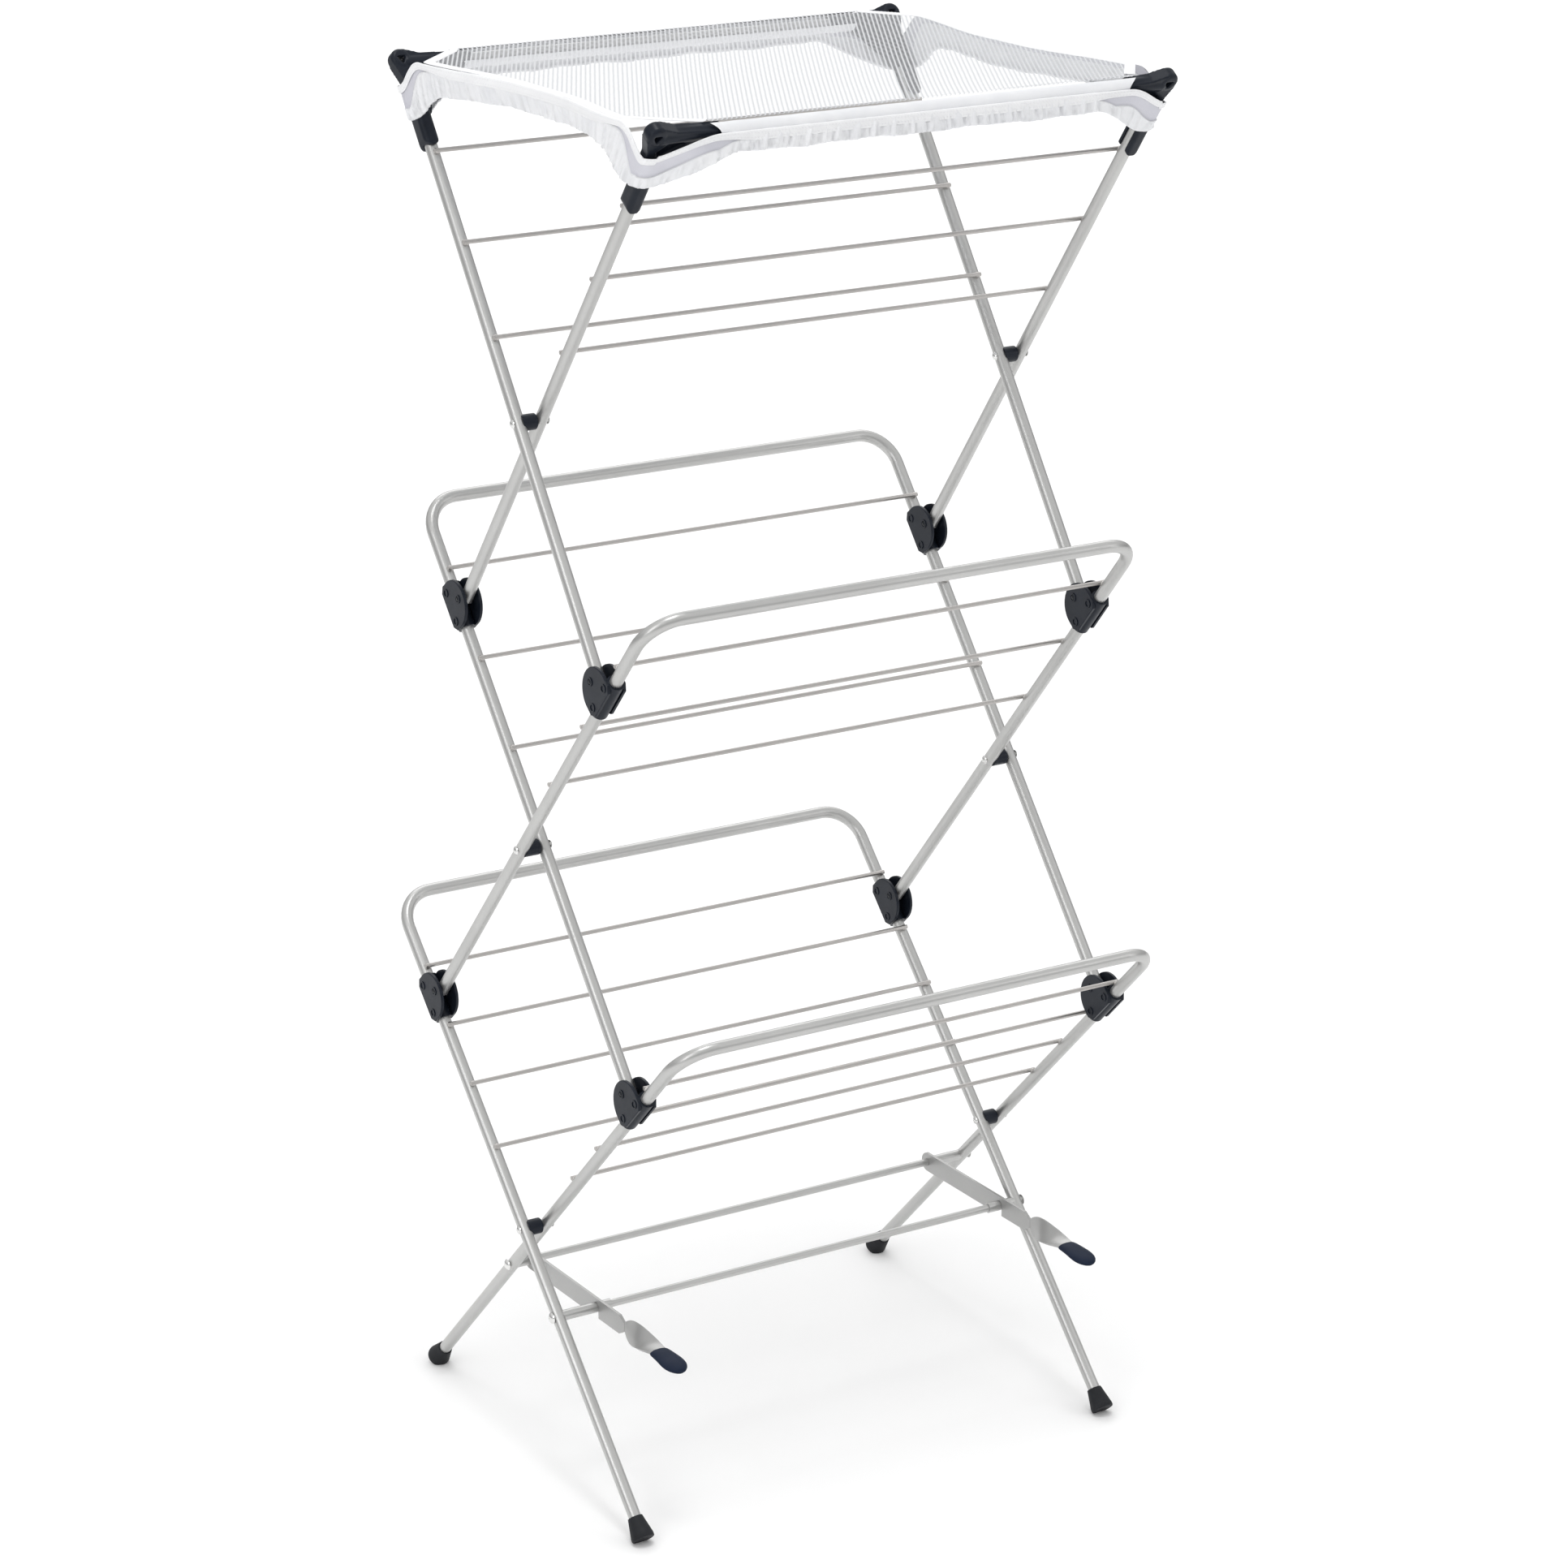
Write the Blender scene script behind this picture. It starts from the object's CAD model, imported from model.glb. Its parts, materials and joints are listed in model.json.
import json
import math
import random

import bpy
import numpy as np
from mathutils import Matrix, Vector


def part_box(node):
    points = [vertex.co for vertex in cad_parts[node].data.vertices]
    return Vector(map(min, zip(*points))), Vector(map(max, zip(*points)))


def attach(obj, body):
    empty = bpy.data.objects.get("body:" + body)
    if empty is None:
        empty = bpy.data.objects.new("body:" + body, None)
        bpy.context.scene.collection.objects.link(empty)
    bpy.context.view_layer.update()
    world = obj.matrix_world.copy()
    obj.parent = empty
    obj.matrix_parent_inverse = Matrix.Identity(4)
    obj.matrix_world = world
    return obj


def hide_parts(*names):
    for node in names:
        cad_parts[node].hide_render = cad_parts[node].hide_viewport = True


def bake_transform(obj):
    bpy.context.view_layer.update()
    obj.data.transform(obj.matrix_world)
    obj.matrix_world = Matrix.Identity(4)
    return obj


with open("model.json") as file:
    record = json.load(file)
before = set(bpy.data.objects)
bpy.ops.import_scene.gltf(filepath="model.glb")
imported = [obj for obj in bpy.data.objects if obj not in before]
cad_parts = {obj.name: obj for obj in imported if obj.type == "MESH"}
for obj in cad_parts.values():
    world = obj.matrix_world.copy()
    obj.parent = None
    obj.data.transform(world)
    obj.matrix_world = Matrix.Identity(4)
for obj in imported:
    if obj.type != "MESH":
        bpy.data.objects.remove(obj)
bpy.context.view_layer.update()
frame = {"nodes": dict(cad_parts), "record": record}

MM = 0.001
NODES = frame["nodes"]
SLOT_OF = {part["node"]: part["material_slot"] for part in frame["record"]["subparts"]}
BODY_OF = {node: body for body, nodes in frame["record"]["behaviour"]["bodies"].items() for node in nodes}
JOINTS = {joint["name"]: Vector(joint["pos_m"]) for joint in frame["record"]["behaviour"]["joints"]}

CAMERA_YAW, CAMERA_PITCH, CAMERA_ROLL = 32.50, 18.63, 0.63      # degrees
CAMERA_PLACE = Vector((-2.4705, -3.8988, 2.2433))
CAMERA_LENS, CAMERA_SENSOR = 108.24, 36                         # millimetres
FLOOR_HALF = 20                                                 # metres from its middle to its edge
WORLD_STRENGTH = 0.84
WORLD_RAMP = ((0.47, (0.20, 0.20, 0.205, 1)), (0.74, (1.0, 1.0, 1.0, 1)))   # by height, the horizon at 0.5
LAMPS = (                                                       # name, place, aim, size, watts
    ("top", (-0.5, -0.6, 8.0), (0, 0, 0), (2.0, 2.0), 140),
    ("left", (-3.0, -1.2, 2.2), (0, 0, 0.7), (0.8, 2.4), 17),
    ("right", (2.6, -2.6, 1.8), (0, 0, 0.7), (0.4, 2.4), 8),
    ("behind", (5.0, 9.0, 8.0), (5.0, 9.0, 0), (10.0, 10.0), 420),
)


# ---------------------------------------------------------------- helpers

def middle(node):
    """The middle of a CAD node's box."""
    low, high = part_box(node)
    return (low + high) / 2


def smoothstep(low, high, value):
    t = min(max((value - low) / (high - low), 0.0), 1.0)
    return t * t * (3 - 2 * t)


def new_mesh(name, vertices, faces):
    mesh = bpy.data.meshes.new(name)
    mesh.from_pydata([tuple(v) for v in vertices], [], faces)
    mesh.validate()
    mesh.update()
    mesh.shade_smooth()
    piece = bpy.data.objects.new(name, mesh)
    bpy.context.scene.collection.objects.link(piece)
    return piece


def grid_mesh(name, rows, closed_rows=False):
    """A surface through rows of points. closed_rows joins the last row to the first."""
    across = len(rows[0])
    vertices = [point for row in rows for point in row]
    faces = []
    for i in range(len(rows) if closed_rows else len(rows) - 1):
        here, following = i * across, (i + 1) % len(rows) * across
        for j in range(across - 1):
            faces.append((here + j, here + j + 1, following + j + 1, following + j))
    return new_mesh(name, vertices, faces)


def apply_modifiers(piece):
    """Leaves the piece with the shape that its modifiers give."""
    depsgraph = bpy.context.evaluated_depsgraph_get()
    mesh = bpy.data.meshes.new_from_object(piece.evaluated_get(depsgraph))
    old = piece.data
    piece.modifiers.clear()
    piece.data = mesh
    bpy.data.meshes.remove(old)


# ---------------------------------------------------------------- materials

WAVE_PER_METRE = 0.314          # a wave texture's scale for one wave to a metre


class Nodes:
    """A material whose colour, roughness and bump come from the place on the object."""

    def __init__(self, name, colour, roughness, metallic=0.0):
        self.material = bpy.data.materials.new(name)
        self.material.use_nodes = True
        self.tree = self.material.node_tree
        self.shader = self.tree.nodes["Principled BSDF"]
        self.place = self.tree.nodes.new("ShaderNodeTexCoord").outputs["Object"]
        self.bump = None
        self.shader.inputs["Base Color"].default_value = (*colour, 1)
        self.shader.inputs["Roughness"].default_value = roughness
        self.shader.inputs["Metallic"].default_value = metallic

    def set(self, **values):
        for key, value in values.items():
            name = key.replace("_", " ").title().replace("Ior", "IOR")
            self.shader.inputs[name].default_value = value

    def noise(self, scale, detail=2.0, rough=0.5):
        node = self.tree.nodes.new("ShaderNodeTexNoise")
        node.inputs["Scale"].default_value = scale
        node.inputs["Detail"].default_value = detail
        node.inputs["Roughness"].default_value = rough
        self.tree.links.new(self.place, node.inputs["Vector"])
        return node.outputs["Fac"]

    def ramp(self, source, stops):
        node = self.tree.nodes.new("ShaderNodeValToRGB")
        while len(node.color_ramp.elements) < len(stops):
            node.color_ramp.elements.new(0.5)
        for element, (position, colour) in zip(node.color_ramp.elements, stops):
            element.position = position
            element.color = (*colour, 1) if hasattr(colour, "__len__") else (colour, colour, colour, 1)
        self.tree.links.new(source, node.inputs["Fac"])
        return node.outputs["Color"]

    def mix(self, factor, first, second, mode="MIX"):
        node = self.tree.nodes.new("ShaderNodeMix")
        node.data_type = "RGBA"
        node.blend_type = mode
        for key, value in (("Factor", factor), ("A", first), ("B", second)):
            kind = "VALUE" if key == "Factor" else "RGBA"
            socket = [s for s in node.inputs if s.name == key and s.type == kind][0]
            if isinstance(value, bpy.types.NodeSocket):
                self.tree.links.new(value, socket)
            else:
                socket.default_value = value if key == "Factor" else (*value, 1)
        return [s for s in node.outputs if s.type == "RGBA"][0]

    def colour_from(self, source):
        self.tree.links.new(source, self.shader.inputs["Base Color"])

    def tones(self, source, dark, light, low=0.3, high=0.7):
        """Colour from dark to light, by the source."""
        self.colour_from(self.ramp(source, ((low, dark), (high, light))))

    def roughness_from(self, source, low, high):
        node = self.tree.nodes.new("ShaderNodeMapRange")
        node.inputs["To Min"].default_value = low
        node.inputs["To Max"].default_value = high
        self.tree.links.new(source, node.inputs["Value"])
        self.tree.links.new(node.outputs["Result"], self.shader.inputs["Roughness"])

    def bump_from(self, source, strength, distance):
        node = self.tree.nodes.new("ShaderNodeBump")
        node.inputs["Strength"].default_value = strength
        node.inputs["Distance"].default_value = distance
        self.tree.links.new(source, node.inputs["Height"])
        if self.bump is not None:
            self.tree.links.new(self.bump, node.inputs["Normal"])
        self.bump = node.outputs["Normal"]
        self.tree.links.new(self.bump, self.shader.inputs["Normal"])

    def weave(self, pitch):
        """Two crossed waves, a thread's pitch apart."""
        heights = []
        for direction in ("X", "DIAGONAL"):
            node = self.tree.nodes.new("ShaderNodeTexWave")
            node.bands_direction = direction
            node.inputs["Scale"].default_value = WAVE_PER_METRE / pitch * (1 if direction == "X" else 0.7)
            node.inputs["Distortion"].default_value = 0.6
            node.inputs["Detail Scale"].default_value = 2.0
            self.tree.links.new(self.place, node.inputs["Vector"])
            heights.append(node.outputs["Fac"])
        node = self.tree.nodes.new("ShaderNodeMath")
        node.operation = "ADD"
        self.tree.links.new(heights[0], node.inputs[0])
        self.tree.links.new(heights[1], node.inputs[1])
        return node.outputs["Value"]


def painted_metal(name, dark, light, roughness, metallic, grain):
    """Satin silver paint: fine flakes, faint clouds and a barely uneven surface."""
    m = Nodes(name, light, roughness, metallic)
    flake = m.noise(grain, 3.0, 0.6)
    cloud = m.noise(14.0, 3.0)
    base = m.ramp(flake, ((0.30, dark), (0.70, light)))
    shade = m.ramp(cloud, ((0.30, 0.94), (0.70, 1.0)))
    m.colour_from(m.mix(1.0, base, shade, "MULTIPLY"))
    m.roughness_from(m.noise(22.0, 1.0), roughness - 0.012, roughness + 0.018)
    m.bump_from(flake, 0.03, 0.00001)
    m.bump_from(m.noise(45.0, 2.0), 0.03, 0.0002)
    return m


def moulded(name, dark, light, roughness, grain, depth):
    """Plastic or rubber with the fine grain of its mould, grain waves to a metre and depth metres deep."""
    m = Nodes(name, dark, roughness)
    m.set(specular_ior_level=0.20)
    cloud = m.noise(38.0, 4.0, 0.6)
    m.tones(cloud, dark, light, high=0.75)
    m.roughness_from(m.noise(120.0, 3.0), roughness - 0.05, roughness + 0.09)
    m.bump_from(m.noise(grain, 2.0, 0.7), 0.25, depth)
    m.bump_from(m.noise(60.0, 2.0), 0.10, 0.0004)
    return m


def make_materials():
    made = {}
    made["silver_tube"] = painted_metal(
        "satin_silver_paint", (0.525, 0.525, 0.516), (0.565, 0.565, 0.556), 0.36, 0.85, 4000.0
    )
    made["silver_rod"] = painted_metal(
        "satin_silver_rod", (0.475, 0.458, 0.442), (0.52, 0.502, 0.486), 0.36, 0.85, 4000.0
    )
    made["lever_steel"] = painted_metal(
        "grey_pressed_steel", (0.41, 0.41, 0.405), (0.46, 0.46, 0.455), 0.36, 0.75, 3000.0
    )
    rivet = Nodes("bright_plated_steel", (0.78, 0.78, 0.77), 0.2, 1.0)
    rivet.roughness_from(rivet.noise(420.0, 4.0), 0.14, 0.30)
    rivet.tones(rivet.noise(90.0, 3.0), (0.66, 0.66, 0.65), (0.82, 0.82, 0.81))
    rivet.bump_from(rivet.noise(700.0, 2.0), 0.12, 0.00008)
    made["rivet_steel"] = rivet
    made["dark_pin"] = moulded(
        "dark_pin_head", (0.012, 0.014, 0.018), (0.020, 0.023, 0.028), 0.24, 900.0, 0.00003
    )
    made["black_plastic"] = moulded(
        "black_moulded_plastic", (0.0080, 0.0110, 0.0180), (0.0130, 0.0170, 0.0260), 0.34, 1900.0, 0.00008
    )
    made["foot_rubber"] = moulded(
        "black_rubber", (0.0130, 0.0140, 0.0165), (0.0210, 0.0225, 0.0260), 0.55, 1300.0, 0.00012
    )
    grip = moulded(
        "navy_dipped_plastic", (0.0110, 0.0175, 0.0370), (0.0150, 0.0225, 0.0450), 0.48, 900.0, 0.00002
    )
    grip.set(specular_ior_level=0.10)
    made["grip_plastic"] = grip
    cloth = Nodes("white_nylon", (0.84, 0.85, 0.87), 0.62)
    cloth.set(sheen_weight=0.25, sheen_roughness=0.4)
    cloth.tones(cloth.noise(24.0, 4.0, 0.6), (0.82, 0.83, 0.855), (0.90, 0.905, 0.92))
    cloth.roughness_from(cloth.noise(140.0, 3.0), 0.55, 0.72)
    cloth.bump_from(cloth.noise(170.0, 5.0, 0.6), 0.25, 0.0006)
    cloth.bump_from(cloth.weave(0.0009), 0.35, 0.00012)
    made["cover_fabric"] = cloth
    lining = Nodes("pale_lining", (0.66, 0.66, 0.71), 0.6)
    lining.set(sheen_weight=0.2)
    lining.tones(lining.noise(30.0, 4.0), (0.60, 0.60, 0.66), (0.68, 0.68, 0.735))
    lining.roughness_from(lining.noise(140.0, 3.0), 0.55, 0.70)
    lining.bump_from(lining.weave(0.0009), 0.35, 0.00012)
    made["cover_lining"] = lining
    tape = Nodes("white_woven_tape", (0.88, 0.885, 0.895), 0.7)
    tape.set(sheen_weight=0.3)
    tape.tones(tape.noise(40.0, 3.0), (0.89, 0.895, 0.91), (0.94, 0.945, 0.955))
    tape.roughness_from(tape.noise(300.0, 3.0), 0.62, 0.78)
    tape.bump_from(tape.weave(0.0012), 0.5, 0.0002)
    made["cover_tape"] = tape
    net = Nodes("white_knitted_net", (0.88, 0.885, 0.90), 0.7)
    net.set(sheen_weight=0.2)
    net.tones(net.noise(500.0, 3.0), (0.54, 0.55, 0.57), (0.62, 0.63, 0.65))
    net.roughness_from(net.noise(60.0, 2.0), 0.6, 0.78)
    net.bump_from(net.noise(2400.0, 2.0), 0.4, 0.0002)
    made["cover_net"] = net
    thread = Nodes("white_thread", (0.9, 0.9, 0.92), 0.6)
    thread.tones(thread.noise(900.0, 2.0), (0.80, 0.80, 0.83), (0.93, 0.93, 0.95))
    thread.bump_from(thread.noise(3000.0, 2.0), 0.4, 0.0001)
    made["thread"] = thread
    return made


MATERIALS = make_materials()


def paint(piece, key):
    piece.data.materials.clear()
    piece.data.materials.append(MATERIALS[key].material)


def finish_of(piece, key):
    """The look, and the CAD material slot that it belongs to."""
    paint(piece, key)


for node_name, node_object in NODES.items():
    look = "dark_pin" if "hub_pins" in node_name else SLOT_OF[node_name]
    for material_slot in node_object.material_slots:
        material_slot.material = MATERIALS[look].material


# ---------------------------------------------------------------- moulded and pressed pieces

def softened(node, voxel, passes):
    """The node's shape with the small roundings that its mould gives."""
    piece = bpy.data.objects.new(node + "_moulded", NODES[node].data.copy())
    bpy.context.scene.collection.objects.link(piece)
    remesh = piece.modifiers.new("remesh", "REMESH")
    remesh.mode = "VOXEL"
    remesh.voxel_size = voxel
    smooth = piece.modifiers.new("smooth", "LAPLACIANSMOOTH")
    smooth.iterations = passes
    smooth.lambda_factor = 0.6
    smooth.use_volume_preserve = True
    apply_modifiers(piece)
    piece.data.shade_smooth()
    finish_of(piece, SLOT_OF[node])
    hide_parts(node)
    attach(piece, BODY_OF[node])


MOULD_VOXEL = 1.1 * MM
for node_name in sorted(NODES):
    if "corner_fitting" in node_name:
        softened(node_name, MOULD_VOXEL, 7)
    elif "lever_grip" in node_name:
        softened(node_name, MOULD_VOXEL, 8)


# ---------------------------------------------------------------- the cover

PIVOT = JOINTS["upper_cross"]
BAR = {-1: middle("front_top_bar"), 1: middle("back_top_bar")}
LEG_X = {
    (-1, -1): middle("upper_front_leg_left").x,
    (1, -1): middle("upper_front_leg_right").x,
    (-1, 1): middle("upper_back_leg_left").x,
    (1, 1): middle("upper_back_leg_right").x,
}
BAR_Z = BAR[-1].z
BAR_Y = BAR[1].y
SLOPE = BAR_Y / (BAR_Z - PIVOT.z)
CASING = 10.2 * MM              # radius of the cloth round a top bar
OPEN_LEFT = 61 * MM             # from a left leg to the casing
OPEN_RIGHT = 44 * MM            # from a right leg to the casing
SIDE_OPEN = 55 * MM             # from a bar to where the flank reaches its full height
CORNER_OUT = 11.2 * MM          # from a leg to the skirt beside it
FITTING_FACE = 14.2 * MM        # from a leg to the skirt in front of it
DIP = 21 * MM                   # from the bar's axis down to the cover's edge at a corner
BOW = 20 * MM                   # how far a flank is drawn in at its middle
NET_Z = BAR_Z + 9.4 * MM        # the net's level between the bars
NET_OVER_BAR = 10.4 * MM        # radius of the net where it lies on a bar
NET_PAST_BAR = 5.5 * MM         # from the bar's axis to the net's last row
LOOP_STEP = 1.6 * MM
LOOP_RADIUS = 8 * MM            # of the cover's corners
CORNER_STEPS = 8
# Sections of the sewn tapes: (down, out) in millimetres round the cover, (across, up) on the net
TAPE_SECTION = (
    (-0.2, 0.2), (-0.7, 0.8), (-0.4, 1.5), (0.6, 1.8),
    (4.5, 1.9), (8.4, 1.8), (9.2, 1.4), (9.4, 0.7),
)
NET_TAPE_SECTION = (
    (-0.5, -0.1), (-0.49, 0.7), (-0.44, 1.0), (-0.15, 1.05),
    (0.15, 1.05), (0.44, 1.0), (0.49, 0.7), (0.5, -0.1),
)
BORDER_WIDTH = 11 * MM          # the tape on the net's edge
BORDER_LIFT = 0.8 * MM
BORDER_STEPS = 200
STITCH_LENGTH, STITCH_GAP, STITCH_WIDTH = 2.4 * MM, 1.3 * MM, 0.45 * MM
HEM_SHALLOW, HEM_DEEPER = 19, 30        # millimetres below the bar, and how much more at a corner
HEM_REACH = 85 * MM             # from a corner to where the hem is level
HEM_ANGLES = (35, 80, 125, 170, 215)
HEM_RADIUS = 1.7 * MM
PANEL_ROWS, GATHERED_ROWS = 6, 13
PANEL_DEEP = 22 * MM            # the lining panel's height at a corner
CASING_ROWS = 2.5 * MM
CASING_FROM, CASING_STEP, CASING_STEPS = 56, 9.6, 24    # degrees round the bar, from above its outside
CASING_SLANT = 13 * MM          # how much longer the casing is on top than below
NET_PITCH = 5.2 * MM            # from one hole to the next
NET_HOLE = 0.64                 # a hole's share of its cell
NET_HOLES = 62                  # from the middle to beyond either side
NET_HALF = 0.29                 # where the sag ends, along X
NET_SAG = 5.0 * MM
rng = random.Random(11)
WAVES = [(rng.uniform(0.85, 1.15), rng.uniform(0, 6.28)) for _ in range(12)]


def fitting_y(z, end):
    """The outer face of a corner fitting's sleeve at height z."""
    return end * ((z - PIVOT.z) * SLOPE + FITTING_FACE)


def run_y(x, z, end):
    """The skirt along the front (end -1) or back (end 1)."""
    near = min(x - LEG_X[-1, end], LEG_X[1, end] - x)
    weight = 1 - smoothstep(8 * MM, 75 * MM, near)
    straight = end * (BAR_Y + CASING)
    return straight + (fitting_y(z, end) - straight) * weight


def side_x(y, side, bow):
    """The skirt along the left (side -1) or right (side 1)."""
    front, back = LEG_X[side, -1], LEG_X[side, 1]
    t = (y + BAR_Y) / (2 * BAR_Y)
    x = front + (back - front) * min(max(t, 0), 1) + side * CORNER_OUT
    return x - side * bow * smoothstep(52 * MM, 200 * MM, BAR_Y - abs(y))


def hem_depth(distance):
    """From the bar's axis down to the hem, by the distance from a corner."""
    return (HEM_SHALLOW + HEM_DEEPER * (1 - smoothstep(0, HEM_REACH, distance))) * MM


def make_loop():
    """Round the cover, from its front left corner.

    Each point is ("corner", side, end, share of the turn), ("run", end, x, 0) or ("flank", side, share, 0).
    """
    points = []
    inset = LOOP_RADIUS - CORNER_OUT
    flank_count = int(2 * BAR_Y / LOOP_STEP)
    flank_shares = [-1 + 2 * i / flank_count for i in range(1, flank_count)]

    def corner(side, end, reverse):
        for i in range(CORNER_STEPS + 1):
            share = i / CORNER_STEPS
            points.append(("corner", side, end, 1 - share if reverse else share))

    def run(end, start, stop):
        count = int(abs(stop - start) / LOOP_STEP)
        for i in range(1, count):
            points.append(("run", end, start + (stop - start) * i / count, 0))

    def flank(side):
        points.extend(("flank", side, side * share, 0) for share in flank_shares)

    corner(-1, -1, False)
    run(-1, LEG_X[-1, -1] + inset, LEG_X[1, -1] - inset)
    corner(1, -1, True)
    flank(1)
    corner(1, 1, False)
    run(1, LEG_X[1, 1] - inset, LEG_X[-1, 1] + inset)
    corner(-1, 1, True)
    flank(-1)
    return points


def place_on_loop(point, z, bow):
    """Plan position, outward direction, and distance from the nearest corner, at height z."""
    kind = point[0]
    if kind == "corner":
        _, side, end, share = point
        face_y = fitting_y(z, end)
        face_x = LEG_X[side, end] + side * CORNER_OUT
        angle = share * math.pi / 2
        out = Vector((side * math.cos(angle), end * math.sin(angle), 0))
        centre = Vector((face_x - side * LOOP_RADIUS, face_y - end * LOOP_RADIUS, z))
        return centre + out * LOOP_RADIUS, out, 0.0
    if kind == "run":
        _, end, x, _ = point
        near = min(x - LEG_X[-1, end], LEG_X[1, end] - x)
        return Vector((x, run_y(x, z, end), z)), Vector((0, end, 0)), max(near, 0)
    _, side, share, _ = point
    low = fitting_y(z, -1) + LOOP_RADIUS
    high = fitting_y(z, 1) - LOOP_RADIUS
    y = (low + high) / 2 + share * (high - low) / 2
    return Vector((side_x(y, side, bow), y, z)), Vector((side, 0, 0)), min(y - low, high - y)


LOOP = make_loop()


def skirt_top(point, distance):
    """Height of the skirt's upper edge."""
    if point[0] == "corner":
        return BAR_Z - DIP
    if point[0] == "run":
        length = OPEN_LEFT if point[2] < 0 else OPEN_RIGHT
        below_bar = 1.5 * MM
        fall = 1 - smoothstep(-0.25, 1.0, distance / length) ** 0.9
        return BAR_Z - below_bar - (DIP - below_bar) * fall
    rise = smoothstep(-0.1, 1.0, distance / SIDE_OPEN)
    return BAR_Z - DIP + (DIP + 8.6 * MM) * rise


def gather(along, down, share):
    """How far the gathered cloth stands out, in metres. along and down are in millimetres."""
    slant = along + 5.0 * math.sin(along / 57.0) + down * 0.22 * math.sin(along / 83.0)
    big = 0.0
    for i, period in enumerate((23.0, 14.5, 10.3, 8.1)):
        stretch, phase = WAVES[i]
        wander = 0.9 * math.sin(slant / (19.0 + 7 * i))
        big += math.sin(2 * math.pi * slant / (period * stretch) + phase + wander)
    small = 0.0
    for i, period in enumerate((5.2, 4.1, 3.3)):
        stretch, phase = WAVES[4 + i]
        small += math.sin(2 * math.pi * slant / (period * stretch) + phase)
    grow = smoothstep(0.0, 0.4, share) * (1 - 0.35 * smoothstep(0.75, 1.0, share))
    return (0.80 * big * grow + 0.46 * small * (0.5 + 0.5 * share)) * MM


def panel_height(point, distance):
    """The smooth panel between a corner opening's tape and the gathers sewn to it."""
    if point[0] == "flank":
        return PANEL_DEEP - 16 * MM * smoothstep(0, 70 * MM, distance)
    reach = OPEN_RIGHT if point[0] == "run" and point[2] >= 0 else OPEN_LEFT
    fade = 1 - smoothstep(reach + 34 * MM, reach + 40 * MM, distance)
    return (PANEL_DEEP - 7 * MM * smoothstep(0, 60 * MM, distance)) * fade


def make_skirt():
    """Round the cover: a smooth panel near each corner, the gathers below it, and a turned hem."""
    rows, has_panel = [], []
    along = 0.0
    previous = None
    for point in LOOP:
        at, out, distance = place_on_loop(point, BAR_Z - 20 * MM, BOW)
        if previous is not None:
            along += (at - previous).length / MM
        previous = at
        top = skirt_top(point, distance)
        uneven = (0.7 * math.sin(along / 21.0) + 0.5 * math.sin(along / 8.3)) * MM
        bottom = BAR_Z - hem_depth(distance) - uneven
        if point[0] == "flank":
            bottom += 3 * MM * smoothstep(30 * MM, 120 * MM, distance)
        seam = max(top - panel_height(point, distance), bottom + 9 * MM)
        seam = min(seam, top - 0.6 * MM)
        column = []
        for j in range(PANEL_ROWS):
            z = top + (seam - top) * j / (PANEL_ROWS - 1)
            spot, out, _ = place_on_loop(point, z, BOW)
            column.append(spot + out * 0.15 * MM * math.sin(along / 6.0 + j))
        for j in range(GATHERED_ROWS):
            share = j / (GATHERED_ROWS - 1)
            z = seam - 0.4 * MM + (bottom - seam) * share
            spot, out, _ = place_on_loop(point, z, BOW + 5 * share * MM)
            lift = gather(along, share * (seam - bottom) / MM, share)
            least_out = 0.5 * MM if distance < 60 * MM else -1.5 * MM
            column.append(spot + out * max(lift + 1.3 * MM, least_out))
        # The hem turns in round its elastic.
        base = column[-1]
        for angle in HEM_ANGLES:
            turn = math.radians(angle)
            fall = Vector((0, 0, -HEM_RADIUS * math.sin(turn)))
            column.append(base + out * HEM_RADIUS * (math.cos(turn) - 1) + fall)
        has_panel.append(panel_height(point, distance) > 3 * MM)
        rows.append(column)
    piece = grid_mesh("cover_skirt", rows, closed_rows=True)
    finish_of(piece, "cover_fabric")
    piece.data.materials.append(MATERIALS["cover_lining"].material)
    across = len(rows[0])
    for face in piece.data.polygons:
        row, column = divmod(min(face.vertices), across)
        if max(face.vertices) - min(face.vertices) > 2 * across:
            row = len(rows) - 1     # a face that closes the loop
        if column < PANEL_ROWS - 1 and has_panel[row]:
            face.material_index = 1
    return piece, along * MM


SKIRT, PERIMETER = make_skirt()


def make_band():
    """The tape round the whole cover, along the skirt's upper edge."""
    rows = []
    for point in LOOP:
        _, _, distance = place_on_loop(point, BAR_Z - 15 * MM, BOW)
        top = skirt_top(point, distance)
        depth = 0.66 + 0.34 * smoothstep(60 * MM, 105 * MM, distance)
        column = []
        for down, lift in TAPE_SECTION:
            spot, out, _ = place_on_loop(point, top - down * depth * MM, BOW)
            column.append(spot + out * (lift + 0.12 * math.sin(distance / MM / 3.1)) * MM)
        rows.append(column)
    piece = grid_mesh("cover_band", rows, closed_rows=True)
    finish_of(piece, "cover_tape")
    return piece


BAND = make_band()


def casing_ends(end):
    """Where the casing on the front (end -1) or back (end 1) bar starts and stops, along X."""
    return LEG_X[-1, end] + OPEN_LEFT, LEG_X[1, end] - OPEN_RIGHT


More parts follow.
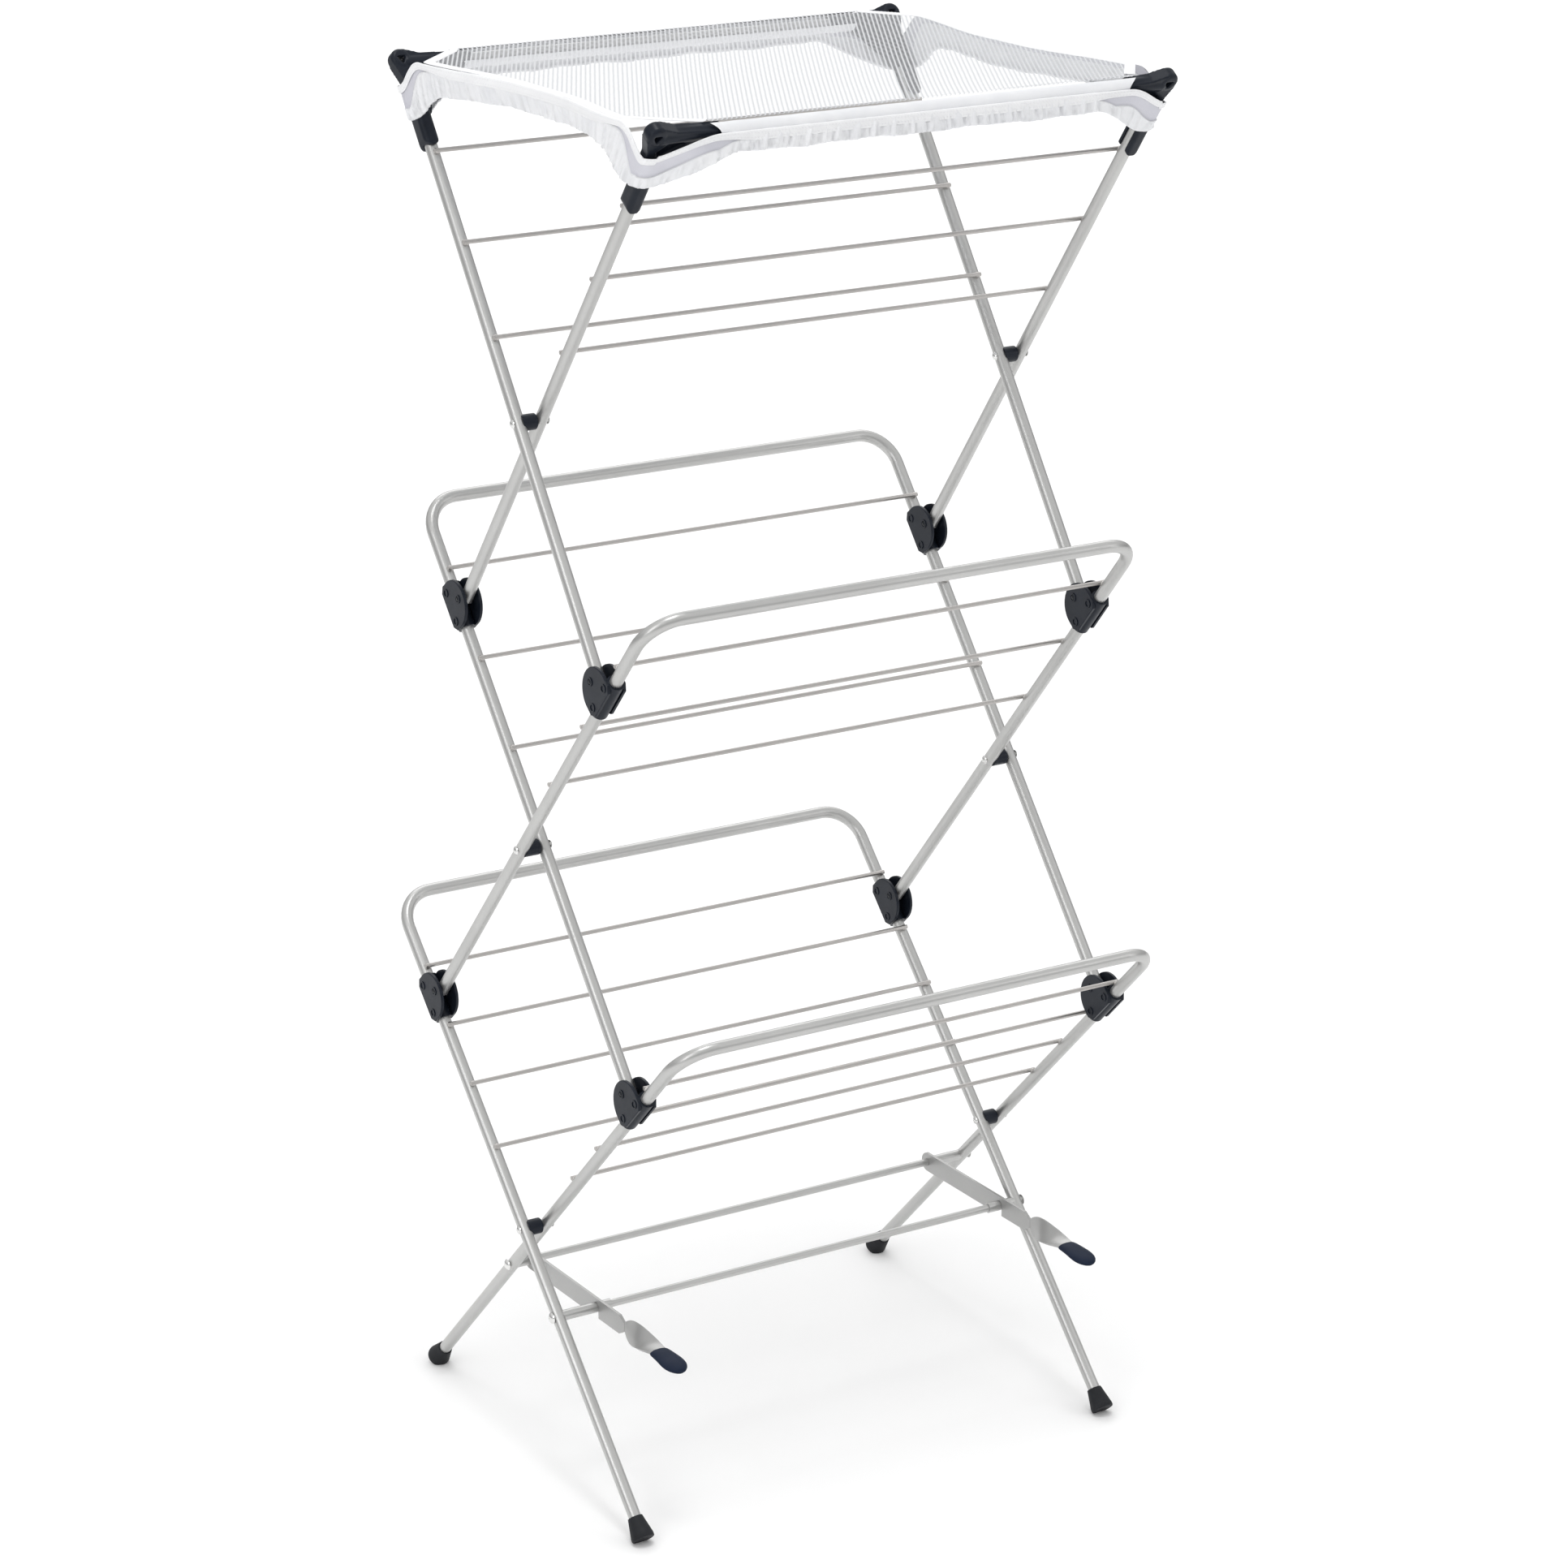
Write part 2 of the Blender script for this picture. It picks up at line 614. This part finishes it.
def make_casing(end):
    """Cloth round a top bar, from the net's edge on the bar down its outside and back under it."""
    left, right = casing_ends(end)
    count = int((right - left) / CASING_ROWS)
    rows = []
    for i in range(count + 1):
        share = i / count
        column = []
        for k in range(CASING_STEPS + 1):
            angle = math.radians(CASING_FROM - k * CASING_STEP)
            over = smoothstep(-10, 85, math.degrees(angle)) * CASING_SLANT
            x0, x1 = left - over, right + over
            x = x0 + (x1 - x0) * share
            ripple = 0.22 * math.sin(x / MM / 6.5 + 1.3 * math.sin(x / MM / 31))
            ripple += 0.16 * math.sin(x / MM / 2.9)
            radius = CASING + 0.1 * MM + ripple * MM * (0.4 + 0.6 * max(0, -math.sin(angle)))
            y = end * (BAR_Y + radius * math.cos(angle))
            column.append(Vector((x, y, BAR_Z + radius * math.sin(angle))))
        rows.append(column)
    piece = grid_mesh("cover_casing_" + ("front" if end < 0 else "back"), rows)
    finish_of(piece, "cover_fabric")
    return piece


CASINGS = {end: make_casing(end) for end in (-1, 1)}


def net_outline(side, y):
    """The net's edge at y: the flank, cut off across each corner."""
    x = abs(side_x(y, side, BOW)) - 1.5 * MM
    for end in (-1, 1):
        left, right = casing_ends(end)
        reach_x = abs(right if side > 0 else left) + 11 * MM
        from_bar = BAR_Y - end * y
        flank = abs(side_x(end * (BAR_Y - SIDE_OPEN), side, BOW))
        if from_bar < SIDE_OPEN:
            t = max(from_bar, 0) / SIDE_OPEN
            x = min(x, reach_x + (flank - reach_x) * t)
    return x


def net_height(x, y):
    """The net lies on each bar and sags a little between them."""
    beyond = abs(y) - BAR_Y
    if beyond > -4 * MM:
        return BAR_Z + math.sqrt(NET_OVER_BAR ** 2 - beyond ** 2)
    sag = (1 - (x / NET_HALF) ** 2) * (1 - (y / BAR_Y) ** 2)
    return NET_Z - NET_SAG * max(sag, 0) + 0.5 * MM * math.sin(x * 31) * math.cos(y * 27)


def make_net():
    """A knitted net: hexagons round slightly flattened holes."""
    row = NET_PITCH * math.sqrt(3) / 2
    cell = NET_PITCH / math.sqrt(3)
    hole = NET_HOLE * cell
    vertices, faces, index = [], [], {}

    def vertex(x, y):
        key = (round(x / (0.2 * MM)), round(y / (0.2 * MM)))
        if key not in index:
            index[key] = len(vertices)
            vertices.append(Vector((x, y, net_height(x, y))))
        return index[key]

    count_y = int(2 * BAR_Y / row) + 2
    for j in range(-count_y // 2, count_y // 2 + 1):
        y = j * row
        if abs(y) > BAR_Y + NET_PAST_BAR:
            continue
        for i in range(-NET_HOLES, NET_HOLES + 1):
            x = (i + (0.5 if j % 2 else 0)) * NET_PITCH
            side = 1 if x > 0 else -1
            if abs(x) > net_outline(side, y) - 3 * MM:
                continue
            outer, inner = [], []
            for k in range(6):
                angle = math.radians(60 * k + 30)
                outer.append(vertex(x + cell * math.cos(angle), y + cell * math.sin(angle)))
                place = (x + hole * math.cos(angle), y + hole * 0.92 * math.sin(angle))
                inner.append(len(vertices))
                vertices.append(Vector((*place, net_height(*place) - 0.1 * MM)))
            for k in range(6):
                faces.append((outer[k], outer[(k + 1) % 6], inner[(k + 1) % 6], inner[k]))
    piece = new_mesh("cover_net", vertices, faces)
    finish_of(piece, "cover_net")
    return piece


NET = make_net()


def ribbon(name, centres, across, width, lift):
    """A flat tape along centres, width wide, across each point's direction, lying on the net."""
    rows = []
    for centre, direction in zip(centres, across):
        column = []
        for share, up in NET_TAPE_SECTION:
            spot = centre + direction * width * share
            column.append(Vector((spot.x, spot.y, spot.z + lift * up)))
        rows.append(column)
    piece = grid_mesh(name, rows)
    finish_of(piece, "cover_tape")
    return piece


def make_net_borders():
    """The tape on the net's edge: along each flank, and across each corner to the casing."""
    made = []
    for side in (-1, 1):
        centres, across = [], []
        last = BAR_Y - 2 * MM
        for step in range(BORDER_STEPS + 1):
            y = -last + 2 * last * step / BORDER_STEPS
            x = side * (net_outline(side, y) - 4.5 * MM)
            centres.append(Vector((x, y, net_height(x, y))))
        for i, centre in enumerate(centres):
            before, after = centres[max(i - 3, 0)], centres[min(i + 3, len(centres) - 1)]
            run = (after - before).normalized()
            across.append(Vector((run.y, -run.x, 0)))
        name = "cover_net_tape_" + ("left" if side < 0 else "right")
        made.append(ribbon(name, centres, across, BORDER_WIDTH, BORDER_LIFT))
    return made


BORDERS = make_net_borders()


def stitches(name, lines, length, gap, width):
    """Short threads along lines of (points, outward directions)."""
    vertices, faces = [], []
    for points, outs in lines:
        lengths = [0.0]
        for a, b in zip(points, points[1:]):
            lengths.append(lengths[-1] + (b - a).length)
        place = gap
        while place + length < lengths[-1]:
            ends = []
            for at in (place, place + length):
                i = int(np.searchsorted(lengths, at)) - 1
                i = max(min(i, len(points) - 2), 0)
                t = (at - lengths[i]) / max(lengths[i + 1] - lengths[i], 1e-9)
                ends.append((points[i].lerp(points[i + 1], t), outs[i]))
            (a, out), (b, _) = ends
            run = (b - a).normalized()
            cross = run.cross(out).normalized() * width
            up = out.normalized() * width * 0.8
            centre = (a + b) / 2
            base = len(vertices)
            vertices += [a, centre + cross, b, centre - cross, centre + up]
            faces += [(base, base + 1, base + 4), (base + 1, base + 2, base + 4)]
            faces += [(base + 2, base + 3, base + 4), (base + 3, base, base + 4)]
            place += length + gap
    piece = new_mesh(name, vertices, faces)
    finish_of(piece, "thread")
    return piece


def sections_of(piece, size):
    """The piece's points, one list for each section along it."""
    points = [v.co.copy() for v in piece.data.vertices]
    return [points[i:i + size] for i in range(0, len(points), size)]


def make_stitching():
    """Two rows of stitches along each tape."""
    above = 0.12 * MM
    lines = []
    columns = sections_of(BAND, len(TAPE_SECTION))
    for level in (0.2, 0.8):
        path, outs = [], []
        for column in columns:
            path.append(column[3].lerp(column[5], level))
            outs.append((column[4] - (column[0] + column[7]) / 2).normalized())
        path = [p + o * above for p, o in zip(path, outs)]
        lines.append((path, outs))
    for border in BORDERS:
        columns = sections_of(border, len(NET_TAPE_SECTION))
        for level in (0.12, 0.88):
            path = [column[2].lerp(column[5], level) + Vector((0, 0, above)) for column in columns]
            lines.append((path, [Vector((0, 0, 1))] * len(path)))
    return stitches("cover_stitches", lines, STITCH_LENGTH, STITCH_GAP, STITCH_WIDTH)


STITCHES = make_stitching()

COVER = [SKIRT, NET, STITCHES, BAND, *CASINGS.values(), *BORDERS]
for piece in COVER:
    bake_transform(piece)
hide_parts("cover_mesh_panel")
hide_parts("cover_back_edge", "cover_front_edge")


# ---------------------------------------------------------------- room, lights and camera

def make_floor():
    """A plain pale floor, in squares of a metre."""
    rows = []
    for x in range(-FLOOR_HALF, FLOOR_HALF + 1):
        rows.append([Vector((x, y, 0)) for y in range(-FLOOR_HALF, FLOOR_HALF + 1)])
    floor = grid_mesh("floor", rows)
    m = Nodes("pale_floor", (0.96, 0.96, 0.96), 0.8)
    m.tones(m.noise(1.5, 2.0), 0.955, 0.965)
    m.set(specular_ior_level=0.15)
    floor.data.materials.append(m.material)


def area_light(name, place, target, size, power):
    """A rectangular lamp at place, aimed at target."""
    data = bpy.data.lights.new(name, "AREA")
    data.shape = "RECTANGLE"
    data.size, data.size_y = size
    data.energy = power
    light = bpy.data.objects.new(name, data)
    light.location = place
    light.rotation_mode = "QUATERNION"
    light.rotation_quaternion = (Vector(place) - Vector(target)).to_track_quat("Z", "Y")
    bpy.context.scene.collection.objects.link(light)


def make_light():
    """A bright, soft studio: lamps overhead, at each side and behind, in a room that is dimmer low down."""
    world = bpy.data.worlds.new("studio")
    bpy.context.scene.world = world
    world.use_nodes = True
    tree = world.node_tree
    place = tree.nodes.new("ShaderNodeTexCoord")
    split = tree.nodes.new("ShaderNodeSeparateXYZ")
    ramp = tree.nodes.new("ShaderNodeValToRGB")
    height = tree.nodes.new("ShaderNodeMapRange")
    height.inputs["From Min"].default_value = -1.0
    for element, (position, colour) in zip(ramp.color_ramp.elements, WORLD_RAMP):
        element.position = position
        element.color = colour
    tree.links.new(place.outputs["Generated"], split.inputs["Vector"])
    tree.links.new(split.outputs["Z"], height.inputs["Value"])
    tree.links.new(height.outputs["Result"], ramp.inputs["Fac"])
    tree.links.new(ramp.outputs["Color"], tree.nodes["Background"].inputs["Color"])
    tree.nodes["Background"].inputs["Strength"].default_value = WORLD_STRENGTH
    for lamp in LAMPS:
        area_light(*lamp)


def make_camera():
    """A long lens from the front left, a little above the rack's top."""
    yaw, pitch, roll = (math.radians(a) for a in (CAMERA_YAW, CAMERA_PITCH, CAMERA_ROLL))
    ahead = Vector((math.sin(yaw) * math.cos(pitch), math.cos(yaw) * math.cos(pitch), -math.sin(pitch)))
    right = Vector((math.cos(yaw), -math.sin(yaw), 0))
    up = right.cross(ahead)
    across = right * math.cos(roll) + up * math.sin(roll)
    upright = up * math.cos(roll) - right * math.sin(roll)
    data = bpy.data.cameras.new("camera")
    data.sensor_width = CAMERA_SENSOR
    data.lens = CAMERA_LENS
    data.clip_start, data.clip_end = 0.1, 100
    camera = bpy.data.objects.new("camera", data)
    turn = Matrix((across, upright, -ahead)).transposed()
    camera.matrix_world = Matrix.Translation(CAMERA_PLACE) @ turn.to_4x4()
    bpy.context.scene.collection.objects.link(camera)
    bpy.context.scene.camera = camera


make_floor()
make_light()
make_camera()
bpy.context.scene.view_settings.view_transform = "Standard"
